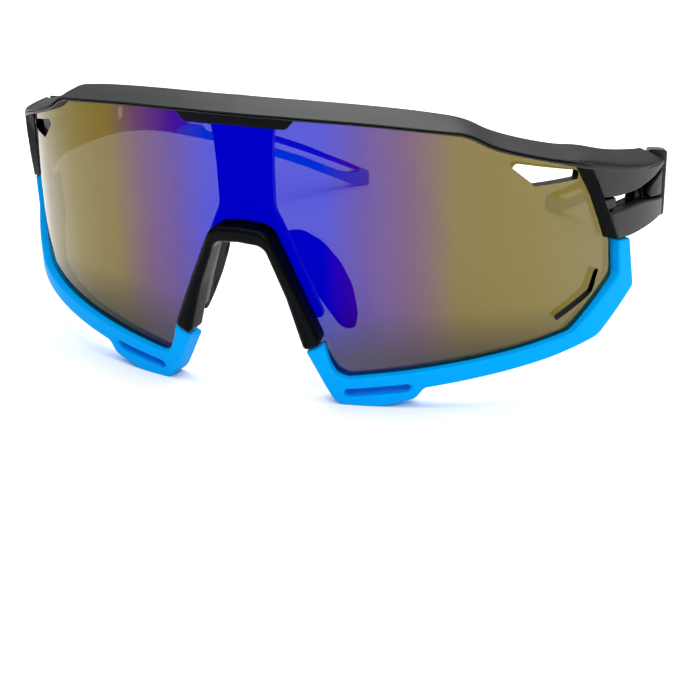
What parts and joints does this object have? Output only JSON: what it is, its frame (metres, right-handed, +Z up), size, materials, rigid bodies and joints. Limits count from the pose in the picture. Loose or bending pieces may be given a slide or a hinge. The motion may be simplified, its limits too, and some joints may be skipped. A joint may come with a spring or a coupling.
{
  "type": "wraparound sport sunglasses",
  "caption": "Wraparound sport sunglasses: a tinted mirror shield in a black brow frame with coloured lower rims, soft nose pads and folding temple arms with rubber grips.",
  "frame": {"origin": "centre of the bounding box's bottom face, on the surface that the rims and the temple tips rest on", "axes": "+X to the right of a viewer facing the lens, +Y from the lens back along the temples, +Z up"},
  "size_m": [0.1486, 0.1744, 0.0638],
  "materials": {
    "matte_black": "fine moulded satin",
    "gloss_black": "polished",
    "sky_blue": "satin",
    "blue_rubber": "soft matte grip",
    "mirror_tint": "mirror-coated tint",
    "pad_rubber": "soft matte",
    "screw_steel": "turned"
  },
  "bodies": {
    "front": {"brow_frame": "matte_black", "shield_lens": "mirror_tint", "lens_clip": "gloss_black", "nose_bridge_rim": "gloss_black", "centre_post": "matte_black", "lower_rim_right": "sky_blue", "lower_rim_left": "sky_blue", "hinge_cover_right": "gloss_black", "hinge_cover_left": "gloss_black", "nose_pad_right": "pad_rubber", "nose_pad_left": "pad_rubber", "hinge_screw_right": "screw_steel", "hinge_screw_left": "screw_steel"},
    "temple_right": {"temple_arm_right": "matte_black", "temple_grip_right": "blue_rubber"},
    "temple_left": {"temple_arm_left": "matte_black", "temple_grip_left": "blue_rubber"}
  },
  "joints": [
    {"name": "temple_right_fold", "type": "hinge", "parent": "front", "child": "temple_right", "pos_m": [0.07031, -0.03201, 0.0408], "axis": [0, 0, 1], "range_deg": [-13, 71]},
    {"name": "temple_left_fold", "type": "hinge", "parent": "front", "child": "temple_left", "pos_m": [-0.07049, -0.03201, 0.0408], "axis": [0, 0, -1], "range_deg": [-4, 74]}
  ]
}
